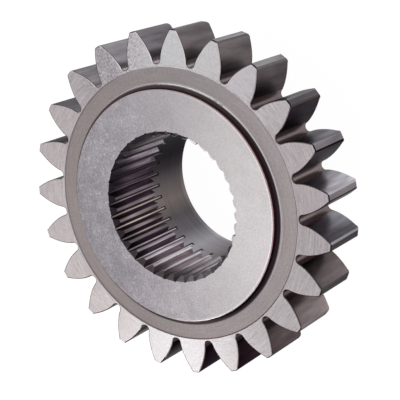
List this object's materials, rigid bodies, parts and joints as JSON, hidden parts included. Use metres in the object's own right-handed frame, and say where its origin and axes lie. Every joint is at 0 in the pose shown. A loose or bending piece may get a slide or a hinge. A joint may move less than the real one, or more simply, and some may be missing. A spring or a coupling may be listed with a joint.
{
  "type": "transmission gear",
  "caption": "Straight-cut transmission gear with a raised front boss, a turned ring round it, a rear hub, and a bore that is splined in front and plain behind.",
  "frame": {"origin": "on the axis of the bore, in the plane of the rear hub's end face, on which the gear stands", "axes": "+Z along the bore's axis towards the raised front boss; +X through the middle of a tooth"},
  "size_m": [0.0819, 0.082, 0.0314],
  "materials": {
    "steel": "ground and turned faces, satin flanks"
  },
  "bodies": {
    "root": {"gear": "steel"}
  },
  "joints": []
}
